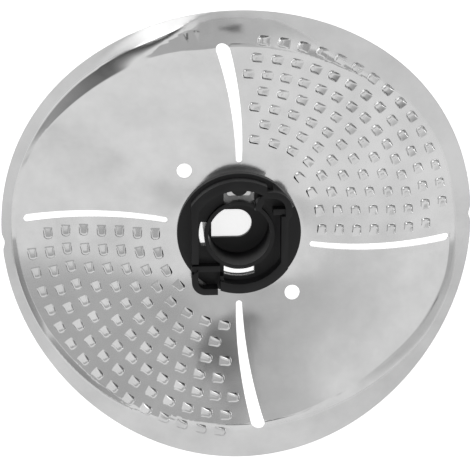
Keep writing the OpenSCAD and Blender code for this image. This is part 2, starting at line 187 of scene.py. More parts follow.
@dataclass(frozen=True)
class SatinPlastic:
    """Injection-moulded black plastic with a fine satin texture: it greys a little where light grazes."""

    colour: str = "161617"
    dusty_colour: str = "1d1d1e"
    roughness: float = 0.38
    texture_mm: float = 0.5
    dust_mm: float = 9.0

    def material(self) -> bpy.types.Material:
        """Build the node material.

        Returns:
            The plastic's material.
        """
        made = bpy.data.materials.new("satin_black_moulded_plastic")
        made.use_nodes = True
        tree = made.node_tree
        tree.nodes.clear()
        where = add_node(tree, "ShaderNodeTexCoord").outputs["Object"]
        dust = add_node(tree, "ShaderNodeTexNoise", {"Scale": 1 / (self.dust_mm * MM), "Detail": 4.0},
                        {"Vector": where})
        dust_share = add_node(tree, "ShaderNodeMapRange", {"From Min": 0.4, "From Max": 0.75},
                              {"Value": dust.outputs[0]})
        shade = add_node(tree, "ShaderNodeMix", {"data_type": "RGBA", 6: linear(self.colour),
                                                 7: linear(self.dusty_colour)},
                         {0: dust_share.outputs[0]})
        texture = add_node(tree, "ShaderNodeTexNoise", {"Scale": 1 / (self.texture_mm * MM),
                                                        "Detail": 2.0}, {"Vector": where})
        bump = add_node(tree, "ShaderNodeBump", {"Strength": 0.12, "Distance": 0.03 * MM},
                        {"Height": texture.outputs[0]})
        shader = add_node(tree, "ShaderNodeBsdfPrincipled", {"Roughness": self.roughness, "IOR": 1.38},
                          {"Base Color": shade.outputs[2], "Normal": bump.outputs[0]})
        add_node(tree, "ShaderNodeOutputMaterial", None, {"Surface": shader.outputs[0]})
        return made


@dataclass(frozen=True)
class Bend:
    """How the sheet is bent near the rim in one direction. Lengths are in millimetres.

    The fold and the crease are given as distances from the rim. Between them the sheet climbs,
    where there is a ledge only after that share of the way.
    """

    at: float
    fold: float
    crease: float
    slope: float = 0.1
    hollow: float = 1.0
    droop: float = 0.0
    curl: float = 1.0
    lift: float = 0.0
    ledge: float = 0.0


@dataclass(frozen=True)
class Saddle:
    """The sheet's form: a flat plate round the hub, a panel bent to a saddle, a fold and a rim.

    All lengths are in millimetres. Heights count from the flat plate's top.
    """

    disc_d: float = 169.9
    bend_loss: float = 5.4
    plate_r: float = 23.0
    mean: float = 3.7
    swing: float = 9.7
    drops: tuple[float, ...] = (0.0, 3.3, 0.0, 0.8)
    drop_power: float = 6.0
    power: float = 1.25
    rim_mean: float = 3.7
    rim_swing: float = 9.2
    notch_depth: float = 0.9
    notch_l: float = 7.0
    notch_at: float = 2.6
    blend: float = 3.0
    bends: tuple[Bend, ...] = (
        # The side towards the first toothed quarter, whose fold hardly shows
        Bend(0, 7.5, 6.0), Bend(10, 8.5, 7.0), Bend(25, 8.5, 7.0), Bend(45, 10.4, 9.0),
        Bend(55, 12.0, 10.8), Bend(65, 12.6, 10.0, 0.0, droop=-0.3, lift=-0.1),
        # The upper end, where the rim is one broad bend
        Bend(78, 12.4, 4.0, 0.08, droop=-0.35, lift=-0.4), Bend(90, 12.0, 0.0, 0.04, lift=-0.8),
        Bend(100, 12.2, 0.4, 0.0, lift=-1.1, ledge=0.3),
        Bend(102, 12.1, 2.0, 0.4, 0.3, 1.2, 1.0, -1.2, 0.9),
        # The first plain quarter, with a steep climb and a rim that is turned down
        Bend(105, 11.8, 3.4, 0.8, 0.2, 2.3, 1.0, -1.2, 0.8),
        Bend(110, 11.1, 4.2, 0.9, 0.2, 2.75, 1.0, -1.1, 0.66),
        Bend(115, 10.8, 4.4, 0.82, 0.2, 3.0, 1.1, -0.8, 0.35),
        Bend(120, 10.6, 4.5, 0.68, 0.3, 2.5, 1.7, -0.3, 0.08), Bend(125, 10.5, 4.6, 0.62, 1.0, 1.35, 2.4),
        Bend(130, 10.4, 4.6, 0.6, 1.0, 0.32, 2.0), Bend(135, 10.0, 4.5, 0.61, 1.0, 0.0, 1.0, -0.1),
        Bend(140, 9.3, 4.5, 0.62, 1.0, 0.0, 1.0, -0.2), Bend(145, 8.3, 4.4, 0.63, 1.0, 0.0),
        Bend(150, 7.1, 4.4, 0.65, 1.0, 0.1), Bend(155, 6.0, 4.4, 0.65),
        Bend(160, 5.5, 4.2, 0.5, 1.0, 0.05), Bend(170, 5.2, 4.0, 0.4, 1.0, 0.05),
        Bend(180, 5.2, 3.8, 0.5, 1.0, 0.2),
        # The second toothed quarter, with a narrow step up to the rim
        Bend(185, 5.2, 3.6, 0.7, 1.0, 0.6), Bend(190, 5.4, 3.6, 0.85, 1.0, 1.0),
        Bend(205, 6.0, 4.2, 0.9, 1.0, 1.2), Bend(215, 7.0, 5.2, 0.9, 1.0, 1.36),
        Bend(225, 7.8, 6.1, 0.9, 1.0, 1.5), Bend(235, 8.7, 7.2, 0.65, 1.0, 1.1),
        Bend(240, 9.8, 8.4, 0.45, 1.0, 0.8), Bend(245, 11.0, 9.6, 0.25, 1.0, 0.6),
        Bend(252, 12.4, 10.8, 0.1, 1.0, 0.4),
        # The lower end and the second plain quarter, whose rim lies almost flat
        Bend(270, 13.2, 12.2, 0.0), Bend(280, 13.6, 12.2), Bend(300, 13.0, 10.0), Bend(315, 10.6, 7.0),
        Bend(330, 7.4, 4.0), Bend(345, 6.0, 3.5))

    def squash(self, a: np.ndarray) -> np.ndarray:
        """Share by which the disc is shorter in a direction, since its ends are bent up."""
        return 1 - self.bend_loss / self.disc_d * np.sin(a) ** 2

    def rim_r(self, a: np.ndarray) -> np.ndarray:
        """Radius of the disc in a direction, without its notches."""
        return self.disc_d / 2 * self.squash(a)

    def notched_r(self, a: np.ndarray) -> np.ndarray:
        """Radius of the disc in a direction, with its two notches."""
        off = np.mod(a - math.radians(self.notch_at) + np.pi / 2, np.pi) - np.pi / 2
        share = np.abs(off) * self.disc_d / 2 / (self.notch_l / 2)
        return self.rim_r(a) - self.notch_depth * smooth(1 - share)

    def bend(self, a: np.ndarray, value: str) -> np.ndarray:
        """Blend one value of the bends along the rim.

        Args:
            a: Directions in radians.
            value: Name of the value.

        Returns:
            The value in each direction.
        """
        places = [b.at for b in self.bends]
        values = [getattr(b, value) for b in self.bends]
        turns = np.degrees(a)
        near = [np.interp(turns + self.blend * k, places, values, period=360) for k in (-1, 0, 1)]
        return (near[0] + 2 * near[1] + near[2]) / 4

    def fold_r(self, a: np.ndarray) -> np.ndarray:
        """Radius of the fold, where the panel ends and the climb begins."""
        return self.rim_r(a) - self.bend(a, "fold")

    def crease_r(self, a: np.ndarray) -> np.ndarray:
        """Radius of the crease, where the climb ends."""
        return self.rim_r(a) - self.bend(a, "crease")

    def brushed(self, r: np.ndarray, a: np.ndarray) -> np.ndarray:
        """Share from 0 to 1 of the rim's matt finish."""
        band = np.maximum(self.bend(a, "crease"), 3.0)
        return smooth((band - self.rim_r(a) + r) / 0.6)

    def panel_rise(self, a: np.ndarray) -> np.ndarray:
        """Height of the panel's outer edge."""
        quarter = np.floor(np.mod(a, 2 * np.pi) / (np.pi / 2)).astype(int) % 4
        drop = np.take(self.drops, quarter) * np.abs(np.sin(2 * a)) ** self.drop_power
        return self.mean - self.swing * np.cos(2 * a) - drop

    def height(self, r: np.ndarray, a: np.ndarray) -> np.ndarray:
        """Height of the sheet's top.

        The climb's slope goes from a start that follows from its height to the given slope at the
        crease, and starts to change where the ledge ends. Beyond the crease the rim droops to its edge.

        Args:
            r: Distances from the axis.
            a: Directions in radians.

        Returns:
            Heights over the flat plate.
        """
        fold_r = self.fold_r(a)
        rise = self.panel_rise(a)
        out = np.clip(r - self.plate_r, 0.0, None) / (fold_r - self.plate_r)
        panel = rise * np.minimum(out, 1.0) ** self.power
        edge = self.rim_mean - self.rim_swing * np.cos(2 * a) + self.bend(a, "lift")
        droop = self.bend(a, "droop")
        width = self.crease_r(a) - fold_r
        last = self.bend(a, "slope")
        hollow = self.bend(a, "hollow")
        ledge = self.bend(a, "ledge")
        part = (1 - ledge) / (hollow + 1)
        first = ((edge + droop - rise) / width - last * part) / (1 - part)
        gone = np.clip((r - fold_r) / width, 0.0, 1.0)
        late = np.clip((gone - ledge) / (1 - ledge), 0.0, 1.0)
        climb = rise + width * (first * gone + (last - first) * part * late ** (hollow + 1))
        rest_w = np.maximum(self.rim_r(a) - fold_r - width, 0.3)
        rest = np.clip((r - fold_r - width) / rest_w, 0.0, 1.0)
        rim = edge + droop * (1 - rest) ** self.bend(a, "curl")
        return np.where(r <= fold_r, panel, np.where(gone < 1, climb, rim))

    def normal(self, x: np.ndarray, y: np.ndarray) -> np.ndarray:
        """Directions that the sheet's top faces.

        Args:
            x: Places along X.
            y: Places along Y.

        Returns:
            One unit vector for each place.
        """
        step = 0.02

        def rise(dx: float, dy: float) -> np.ndarray:
            """Height a little to one side."""
            return self.height(np.hypot(x + dx, y + dy), np.arctan2(y + dy, x + dx))

        slope_x = (rise(step, 0) - rise(-step, 0)) / (2 * step)
        slope_y = (rise(0, step) - rise(0, -step)) / (2 * step)
        found = np.stack([-slope_x, -slope_y, np.ones_like(slope_x)], axis=1)
        return found / np.linalg.norm(found, axis=1)[:, None]


@dataclass(frozen=True)
class CurvedSlot:
    """One slot on the border between two quarters, with round ends. Lengths are in millimetres.

    The line gives how far the slot's middle lies from the border's own axis at a radius.
    """

    number: int
    inner: float
    length: float
    inner_w: float
    outer_w: float
    line: Callable[[float], float]

    def outer(self) -> float:
        """Radius of the slot's outer end."""
        return self.inner + self.length

    def half_width(self, r: float) -> float:
        """Half width of the slot at a radius, or 0 beyond its ends."""
        if r <= self.inner or r >= self.outer():
            return 0.0
        w = between(self.inner_w, self.outer_w, (r - self.inner) / self.length) / 2
        near = min(r - self.inner, self.outer() - r)
        return w if near >= w else math.sqrt(w * w - (w - near) ** 2)

    def point(self, r: float, side: Side) -> tuple[float, float]:
        """A point on one edge of the slot, or on the border where the slot is closed.

        Args:
            r: Distance from the axis.
            side: Which edge.

        Returns:
            X and Y.
        """
        turn = 1 if self.number < 2 else -1
        off = self.line(r) + self.half_width(r) * side.value
        along = math.sqrt(r * r - off * off)
        if self.number % 2 == 0:
            return (turn * along, turn * off)
        return (-turn * off, turn * along)

    def stops(self, count: int = 8) -> list[float]:
        """Radii at which the round ends get a point of their own."""
        turns = [math.pi / 2 * s / count for s in range(count + 1)]
        near = [self.inner + self.inner_w / 2 * (1 - math.cos(t)) for t in turns]
        far = [self.outer() - self.outer_w / 2 * (1 - math.cos(t)) for t in reversed(turns)]
        return near + far


@dataclass(frozen=True)
class Tooth:
    """The form of one pierced and raised tooth, in millimetres: a small dome with a slit under its lip.

    Places along the tooth are shares, from 0 at its back to 1 at its lip, which is an arc.
    """

    width: float = 3.4
    length: float = 4.2
    height: float = 0.95
    spread: float = 0.2
    lip_t: float = 0.4
    lip_arc: float = 1.2
    mouth: float = 0.05
    crown_share: float = 0.78
    lip_fall: float = 0.5
    squareness: float = 5.0
    roundness: float = 1.15
    margin: float = 0.25
    shares: tuple[float, ...] = (0.0, 0.06, 0.14, 0.26, 0.42, 0.58, 0.72, 0.82, 0.9, 0.96, 1.0)
    columns: tuple[float, ...] = (-1.0, -0.93, -0.82, -0.66, -0.42, -0.14, 0.14, 0.42, 0.66, 0.82, 0.93, 1.0)

    def across(self) -> list[float]:
        """Places across the tooth's patch, with a margin on both sides."""
        half = self.width / 2
        return [-half - self.margin] + [half * c for c in self.columns] + [half + self.margin]

    def lip(self, off: float) -> float:
        """Place of the lip along the tooth, at a distance from its middle."""
        share = min(1.0, abs(off) / (self.width / 2))
        return self.length / 2 - self.lip_arc * (1 - math.sqrt(1 - share ** 2))

    def mouth_reach(self, off: float) -> float:
        """How far the mouth reaches in front of the lip, at a distance from the tooth's middle."""
        share = min(1.0, abs(off) / (self.width / 2))
        return 0.04 + self.mouth * math.sqrt(1 - share ** 2)

    def ends(self) -> tuple[float, float]:
        """Where the patch begins and ends along the tooth."""
        return -self.length / 2 - self.margin, self.length / 2 + self.mouth + self.margin

    def inputs(self) -> dict[str, float]:
        """Inputs of the pressing tree by name, with lengths in metres."""
        return {"Tooth height": self.height * MM, "Tooth width": self.width * MM,
                "Height spread": self.spread, "Crown share": self.crown_share,
                "Lip fall": self.lip_fall, "Squareness": self.squareness,
                "Roundness": self.roundness}


@dataclass
class SheetMesh:
    """Points, faces and marks of the sheet's top while it is put together. Lengths in millimetres."""

    points: list[tuple[float, float]] = field(default_factory=list)
    along: list[float] = field(default_factory=list)
    across: list[float] = field(default_factory=list)
    pressed: list[float] = field(default_factory=list)
    rounding: list[float] = field(default_factory=list)
    owner: list[int] = field(default_factory=list)
    faces: list[tuple[int, ...]] = field(default_factory=list)
    mouths: list[bool] = field(default_factory=list)
    known: dict[tuple[int, int], int] = field(default_factory=dict)

    def add(self, x: float, y: float, along: float = 0.0, across: float = 0.0,
            pressed: float = 0.0, rounding: float = 0.0, owner: int = 0) -> int:
        """Add a point, or find the one that is there.

        Args:
            x: Place along X.
            y: Place along Y.
            along: Place along its tooth, as a share.
            across: Place across its tooth.
            pressed: 1 where the point belongs to a tooth.
            rounding: How far the point is lowered by a rounded edge.
            owner: Number of its tooth.

        Returns:
            The point's number.
        """
        key = (round(x * 1e4), round(y * 1e4))
        if key not in self.known:
            self.known[key] = len(self.points)
            self.points.append((x, y))
            self.along.append(along)
            self.across.append(across)
            self.pressed.append(pressed)
            self.rounding.append(rounding)
            self.owner.append(owner)
        return self.known[key]

    def face(self, corners: Sequence[int], mouth: bool = False) -> None:
        """Add a face, leaving out corners that repeat."""
        kept = [c for i, c in enumerate(corners) if c != corners[i - 1]]
        if len(kept) > 2:
            self.faces.append(tuple(kept))
            self.mouths.append(mouth)


def press_tree(tooth: Tooth) -> bpy.types.NodeTree:
    """Build the Geometry Nodes tree that raises the teeth and opens their mouths.

    Args:
        tooth: The tooth's form, which gives the inputs' defaults.

    Returns:
        The tree.
    """
    tree = bpy.data.node_groups.new("press_teeth", "GeometryNodeTree")
    face = tree.interface
    face.new_socket("Geometry", in_out="INPUT", socket_type="NodeSocketGeometry")
    for name, value in tooth.inputs().items():
        face.new_socket(name, in_out="INPUT", socket_type="NodeSocketFloat").default_value = value
    face.new_socket("Seed", in_out="INPUT", socket_type="NodeSocketInt").default_value = 7
    face.new_socket("Sheet material", in_out="INPUT", socket_type="NodeSocketMaterial")
    face.new_socket("Geometry", in_out="OUTPUT", socket_type="NodeSocketGeometry")
    given = add_node(tree, "NodeGroupInput").outputs

    def named(name: str, data_type: str = "FLOAT") -> bpy.types.NodeSocket:
        """Read an attribute of the sheet."""
        return add_node(tree, "GeometryNodeInputNamedAttribute",
                        {"data_type": data_type, "Name": name}).outputs["Attribute"]

    def maths(operation: str, *values: object) -> bpy.types.NodeSocket:
        """Join values, each a socket or a number."""
        node = add_node(tree, "ShaderNodeMath", {"operation": operation})
        for place, value in enumerate(values):
            if isinstance(value, bpy.types.NodeSocket):
                tree.links.new(value, node.inputs[place])
            else:
                node.inputs[place].default_value = value
        return node.outputs[0]

    along = named("tooth_along")
    back = add_node(tree, "ShaderNodeMapRange", {"From Max": 0.0},
                    {"Value": along, "From Min": given["Crown share"]}).outputs[0]
    front = add_node(tree, "ShaderNodeMapRange", None,
                     {"Value": along, "From Min": given["Crown share"]}).outputs[0]
    off = maths("DIVIDE", maths("ABSOLUTE", named("tooth_across")),
                maths("MULTIPLY", given["Tooth width"], 0.5))
    # A ramp that rises to a crown near the lip, rounded at the sides and bent down at the lip
    ramp = maths("SUBTRACT", 1.0, maths("POWER", back, given["Roundness"]))
    sides = maths("SUBTRACT", 1.0, maths("POWER", off, given["Squareness"]))
    nose = maths("SUBTRACT", 1.0, maths("MULTIPLY", given["Lip fall"], maths("POWER", front, 2.0)))
    dome = maths("MAXIMUM", maths("MULTIPLY", maths("MULTIPLY", ramp, sides), nose), 0.0)
    # No two presses of the punch come out quite alike
    spread = add_node(tree, "FunctionNodeRandomValue", {"data_type": "FLOAT"},
                      {"ID": named("tooth_owner", "INT"), "Seed": given["Seed"]}).outputs[1]
    varied = maths("ADD", 1.0, maths("MULTIPLY", given["Height spread"], maths("SUBTRACT", spread, 0.5)))
    height = maths("MULTIPLY", maths("MULTIPLY", named("tooth_pressed"), given["Tooth height"]), varied)
    lift = maths("MULTIPLY", dome, height)
    marked = add_node(tree, "GeometryNodeStoreNamedAttribute",
                      {"data_type": "FLOAT", "domain": "POINT", "Name": "lifted"},
                      {"Geometry": given["Geometry"], "Value": lift})
    up = add_node(tree, "ShaderNodeCombineXYZ", None, {"Z": named("lifted")})
    raised = add_node(tree, "GeometryNodeSetPosition", None,
                      {"Geometry": marked.outputs[0], "Offset": up.outputs[0]})
    opened = add_node(tree, "GeometryNodeDeleteGeometry", {"domain": "FACE"},
                      {"Geometry": raised.outputs[0], "Selection": named("mouth", "BOOLEAN")})
    plain = add_node(tree, "GeometryNodeRealizeInstances", None, {"Geometry": opened.outputs[0]})
    dressed = add_node(tree, "GeometryNodeSetMaterial", None,
                       {"Geometry": plain.outputs[0], "Material": given["Sheet material"]})
    add_node(tree, "NodeGroupOutput", None, {"Geometry": dressed.outputs[0]})
    return tree


def set_inputs(modifier: bpy.types.Modifier, values: dict[str, object]) -> None:
    """Set a Geometry Nodes modifier's inputs by their sockets' identifiers.

    Args:
        modifier: The modifier.
        values: Values by the inputs' names.
    """
    for item in modifier.node_group.interface.items_tree:
        if item.item_type == "SOCKET" and item.in_out == "INPUT" and item.name in values:
            modifier[item.identifier] = values[item.name]


def plain_mesh(obj: bpy.types.Object, name: str) -> bpy.types.Mesh:
    """Evaluate an object's modifiers to a plain mesh.

    Args:
        obj: The object.
        name: The new mesh's name.

    Returns:
        The mesh, with the object's modifiers applied.
    """
    graph = bpy.context.evaluated_depsgraph_get()
    mesh = bpy.data.meshes.new_from_object(obj.evaluated_get(graph), preserve_all_data_layers=True,
                                           depsgraph=graph)
    mesh.name = name
    return mesh


def finish_piece(obj: bpy.types.Object, node: str, material: bpy.types.Material) -> None:
    """Give a piece its material and say which CAD node it stands for.

    Args:
        obj: The piece.
        node: Name of the CAD node.
        material: The piece's material.
    """
    obj.data.materials.clear()
    obj.data.materials.append(material)
    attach(obj, BODY)
    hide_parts(node)
    log.info("%s stands for %s with %d triangles", obj.name, node,
             sum(len(p.vertices) - 2 for p in obj.data.polygons))


def offset_loop(loop: np.ndarray, distance: float) -> np.ndarray:
    """Move a closed outline sideways.

    Args:
        loop: Points in order, with the material on the left.
        distance: How far to move into the material.

    Returns:
        The moved points.
    """
    step = np.roll(loop, -1, axis=0) - np.roll(loop, 1, axis=0)
    step = step / np.linalg.norm(step, axis=1)[:, None]
    return loop + distance * np.stack([-step[:, 1], step[:, 0]], axis=1)


@dataclass
class PressedDisc:
    """The disc: one sheet with its folds, slots, holes and teeth. Lengths are in millimetres."""

    name: str = "pressed_disc"
    plate_z: float = 12.2
    sheet_t: float = 0.7
    saddle: Saddle = field(default_factory=Saddle)
    tooth: Tooth = field(default_factory=Tooth)
    hole_r: float = 16.3
    tab_w: float = 8.6
    tab_l: float = 2.8
    slot_in: float = 26.0
    side_slot_l: float = 51.0
    side_slot_off: float = 4.9
    side_slot_bulge: float = 2.3
    side_slot_w: tuple[float, float] = (1.9, 2.7)
    end_slot_l: float = 45.5
    end_slot_swing: float = 6.8
    end_slot_w: tuple[float, float] = (2.1, 4.9)
    pin_d: float = 5.4
    pin_r: float = 30.2
    pin_at: float = 129.8
    row_r: float = 29.9
    row_pitch: float = 6.4
    rows: tuple[tuple[int, float, float], ...] = (
        (4, 0.6, 14.1), (8, 0.0, 11.6), (9, -0.8, 9.8), (11, -0.8, 8.45), (12, -1.0, 7.5),
        (15, -0.5, 6.28), (15, 0.5, 6.05), (15, 6.6, 5.52))
    edge_in: float = 0.14
    edge_drop: float = 0.07
    margin: float = 0.45
    rim_points: int = 480
    columns: int = 252
    plate_rings: tuple[float, ...] = (18.2, 20.2, 22.2, 23.8, 25.0)
    panel_rings: int = 32
    climb_steps: tuple[float, ...] = (-0.08, 0.0, 0.12, 0.26, 0.4, 0.54, 0.66, 0.77, 0.86, 0.94, 1.0)
    rim_steps: tuple[float, ...] = (0.16, 0.34, 0.55, 0.78)

    def slots(self) -> list[CurvedSlot]:
        """The four slots by the number of their border."""
        half = self.side_slot_l / 2
        bulge = self.side_slot_bulge
        arc_r = (half ** 2 + bulge ** 2) / (2 * bulge)
        middle = self.slot_in + half

        def side_line(r: float) -> float:
            """Arc of a side slot, which bulges away from its border's axis."""
            sag = math.sqrt(max(arc_r ** 2 - (r - middle) ** 2, 0.0))
            return arc_r - self.side_slot_off - bulge - sag

        def end_line(r: float) -> float:
            """Bend of an end slot, which swings away towards its outer end."""
            return self.end_slot_swing * (max(0.0, r - self.slot_in) / self.end_slot_l) ** 2

        shapes = [(self.side_slot_l, *self.side_slot_w, side_line),
                  (self.end_slot_l, *self.end_slot_w, end_line)]
        return [CurvedSlot(b, self.slot_in, *shapes[b % 2]) for b in range(4)]

    def teeth(self) -> np.ndarray:
        """Places of the teeth.

        Returns:
            One line for each tooth: its distance from the axis and its direction in radians.
        """
        places = []
        for quarter in (0, 2):
            for k, (count, first, pitch) in enumerate(self.rows):
                for j in range(count):
                    a = math.radians(90 * quarter + first + pitch * j)
                    places.append((float(self.saddle.squash(np.array(a))) * (self.row_r + self.row_pitch * k), a))
        return np.array(places)

    def outlines(self) -> list[np.ndarray]:
        """Outlines of the sheet with its material on their left: the rim, the hub's hole, slots and pins."""
        turns = np.linspace(0, 2 * np.pi, self.rim_points, endpoint=False)
        r = self.saddle.notched_r(turns)
        loops = [np.stack([r * np.cos(turns), r * np.sin(turns)], axis=1)]
        half = math.asin(self.tab_w / 2 / self.hole_r)
        arc = np.linspace(np.pi / 2 - half, -3 * np.pi / 2 + half, 90)
        hole = [(self.hole_r * math.cos(a), self.hole_r * math.sin(a)) for a in arc]
        inner = self.hole_r - self.tab_l
        tab = [(-self.tab_w / 2, inner + 0.6), (-self.tab_w / 2 + 0.6, inner), (0.0, inner),
               (self.tab_w / 2 - 0.6, inner), (self.tab_w / 2, inner + 0.6)]
        loops.append(np.array(hole + tab))
        for slot in self.slots():
            radii = sorted(set(slot.stops() + list(np.linspace(slot.inner + 1.5, slot.outer() - 3, 34))))
            after = [slot.point(r, Side.AFTER) for r in radii]
            before = [slot.point(r, Side.BEFORE) for r in reversed(radii[1:-1])]
            loops.append(np.array(after + before))
        for turn in (0, 180):
            a = math.radians(self.pin_at + turn)
            c = np.array([self.pin_r * math.cos(a), self.pin_r * math.sin(a)])
            round_ = np.linspace(2 * np.pi, 0, 36, endpoint=False)
            loops.append(c + self.pin_d / 2 * np.stack([np.cos(round_), np.sin(round_)], axis=1))
        return [self.material_left(loop, i == 0) for i, loop in enumerate(loops)]

    @staticmethod
    def material_left(loop: np.ndarray, outside: bool) -> np.ndarray:
        """Turn an outline so that the material lies on its left."""
        x, y = loop[:, 0], loop[:, 1]
        area = np.sum(x * np.roll(y, -1) - np.roll(x, -1) * y) / 2
        return loop if (area > 0) == outside else loop[::-1]

    @staticmethod
    def inside(points: np.ndarray, loop: np.ndarray) -> np.ndarray:
        """Which points lie inside an outline.

        Args:
            points: X and Y of the points.
            loop: The outline's points in order.

        Returns:
            True for each point inside.
        """
        x, y = points[:, 0], points[:, 1]
        found = np.zeros(len(points), dtype=bool)
        for (x0, y0), (x1, y1) in zip(loop, np.roll(loop, -1, axis=0)):
            if y0 != y1:
                crosses = (y0 > y) != (y1 > y)
                found ^= crosses & (x < (x1 - x0) * (y - y0) / (y1 - y0) + x0)
        return found

    def tooth_frame(self, points: np.ndarray, place: np.ndarray) -> tuple[np.ndarray, np.ndarray]:
        """Places of points along and across a tooth."""
        r, a = place
        shifted = points - np.array([r * math.cos(a), r * math.sin(a)])
        along = -shifted[:, 0] * math.sin(a) + shifted[:, 1] * math.cos(a)
        across = shifted[:, 0] * math.cos(a) + shifted[:, 1] * math.sin(a)
        return along, across

    def in_teeth(self, points: np.ndarray, margin: float) -> np.ndarray:
        """Which points lie in a tooth's patch or nearer to it than a margin."""
        found = np.zeros(len(points), dtype=bool)
        start, end = self.tooth.ends()
        side = self.tooth.width / 2 + self.tooth.margin
        for place in self.teeth():
            along, across = self.tooth_frame(points, place)
            found |= ((along > start - margin) & (along < end + margin)
                      & (np.abs(across) < side + margin))
        return found

    def fill_points(self) -> np.ndarray:
        """Points between the outlines and the teeth, in rings that follow the fold."""
        turns = np.linspace(0, 2 * np.pi, self.columns, endpoint=False)
        fold = self.saddle.fold_r(turns)
        rings = [np.full_like(turns, r) for r in self.plate_rings]
        rings += [between(self.plate_rings[-1] + 1.0, fold, s / self.panel_rings)
                  for s in range(self.panel_rings)]
        crease = self.saddle.crease_r(turns)
        rings += [between(fold, crease, s) for s in self.climb_steps]
        rim = self.saddle.rim_r(turns)
        rings += [crease + 0.22]
        rings += [between(crease, rim, s) for s in self.rim_steps]
        r = np.concatenate(rings)
        a = np.tile(turns, len(rings))
        return np.stack([r * np.cos(a), r * np.sin(a)], axis=1)

    def plan(self) -> SheetMesh:
        """Lay out the sheet's top as a flat net of points and faces.

        Returns:
            The net, with the teeth's patches and mouths marked.
        """
        net = SheetMesh()
        edges: list[tuple[int, int]] = []
        loops = self.outlines()

        def chain(numbers: Sequence[int]) -> None:
            """Join points to a closed line that the faces keep to."""
            edges.extend((a, b) for a, b in zip(numbers, list(numbers[1:]) + [numbers[0]]) if a != b)

        for loop in loops:
            outer = [net.add(x, y, rounding=self.edge_drop) for x, y in loop]
            inner = [net.add(x, y) for x, y in offset_loop(loop, self.edge_in)]
            chain(inner)
            for i, corner in enumerate(outer):
                net.face((outer[i - 1], corner, inner[i], inner[i - 1]))
        for number, place in enumerate(self.teeth()):
            chain(self.add_patch(net, number, place))
        fill = self.fill_points()
        keep = ~self.in_teeth(fill, self.margin)
        keep &= self.inside(fill, offset_loop(loops[0], self.edge_in + self.margin / 2))
        for loop in loops[1:]:
            keep &= ~self.inside(fill, offset_loop(loop, self.edge_in + self.margin))
        for x, y in fill[keep]:
            net.add(x, y)
        self.fill_between(net, edges, [offset_loop(loop, self.edge_in) for loop in loops])
        return net

    def add_patch(self, net: SheetMesh, number: int, place: np.ndarray) -> list[int]:
        """Add the net of one tooth and its mouth.

        Args:
            net: The sheet's net.
            number: The tooth's number.
            place: The tooth's distance from the axis and direction.

        Returns:
            The patch's outline as point numbers.
        """
        r, a = place
        half = self.tooth.width / 2
        start, end = self.tooth.ends()
        lines: list[tuple[float, Callable[[float], float]]] = [(0.0, lambda off: start)]
        lines += [(share, lambda off, share=share: between(-self.tooth.length / 2, self.tooth.lip(off), share))
                  for share in self.tooth.shares]
        lines += [(-1.0, lambda off: self.tooth.lip(off) + self.tooth.mouth_reach(off)),
                  (-1.0, lambda off: end)]
        offs = self.tooth.across()
        grid = []
        for share, place_of in lines:
            row = []
            for off in offs:
                along = place_of(off)
                x = (r + off) * math.cos(a) - along * math.sin(a)
                y = (r + off) * math.sin(a) + along * math.cos(a)
                pressed = float(share >= 0 and abs(off) < half)
                row.append(net.add(x, y, max(share, 0.0), off * MM, pressed, owner=number))
            grid.append(row)
        mouth_line = len(self.tooth.shares)
        for i in range(len(grid) - 1):
            for j, off in enumerate(offs[:-1]):
                centre = (off + offs[j + 1]) / 2
                net.face((grid[i][j], grid[i][j + 1], grid[i + 1][j + 1], grid[i + 1][j]),
                         mouth=i == mouth_line and abs(centre) < half)
        return (grid[0] + [row[-1] for row in grid[1:]] + grid[-1][-2::-1]
                + [row[0] for row in grid[-2:0:-1]])

    def fill_between(self, net: SheetMesh, edges: list[tuple[int, int]],
                     loops: Sequence[np.ndarray]) -> None:
        """Fill the sheet between its outlines and patches with triangles."""
        flat = [Vector(p) for p in net.points]
        found = delaunay_2d_cdt(flat, edges, [], 0, 1e-7)
        corners = np.array([tuple(v) for v in found[0]])
        origins = [o[0] if o else -1 for o in found[3]]
        faces = np.array([f for f in found[2]])
        centres = corners[faces].mean(axis=1)
        keep = self.inside(centres, loops[0]) & ~self.in_teeth(centres, 0.0)
        for loop in loops[1:]:
            keep &= ~self.inside(centres, loop)
        for face in faces[keep]:
            numbers = [origins[c] for c in face]
            if min(numbers) < 0:
                numbers = [net.add(*corners[c]) if o < 0 else o for c, o in zip(face, numbers)]
            net.face(numbers)
        log.info("the sheet's plan has %d points and %d faces", len(net.points), len(net.faces))

    def top_object(self, material: bpy.types.Material) -> bpy.types.Object:
        """Make the sheet's top with its teeth raised by the Geometry Nodes tree."""
        net = self.plan()
        flat = np.array(net.points)
        r = np.hypot(flat[:, 0], flat[:, 1])
        a = np.arctan2(flat[:, 1], flat[:, 0])
        z = self.plate_z + self.saddle.height(r, a) - np.array(net.rounding)
        mesh = bpy.data.meshes.new("sheet_top")
        mesh.from_pydata([(x * MM, y * MM, h * MM) for (x, y), h in zip(net.points, z)], [], net.faces)
        for name, values in (("tooth_along", net.along), ("tooth_across", net.across),
                             ("tooth_pressed", net.pressed)):
            mesh.attributes.new(name, "FLOAT", "POINT").data.foreach_set("value", values)
        mesh.attributes.new("tooth_owner", "INT", "POINT").data.foreach_set("value", net.owner)
        mesh.attributes.new("mouth", "BOOLEAN", "FACE").data.foreach_set("value", net.mouths)
        obj = bpy.data.objects.new("sheet_top", mesh)
        bpy.context.scene.collection.objects.link(obj)
        tree = press_tree(self.tooth)
        modifier = obj.modifiers.new("press", "NODES")
        modifier.node_group = tree
        set_inputs(modifier, {**self.tooth.inputs(), "Seed": 7, "Sheet material": material})
        pressed = plain_mesh(obj, "sheet_top_pressed")
        obj.modifiers.clear()
        obj.data = pressed
        bpy.data.meshes.remove(mesh)
        return obj

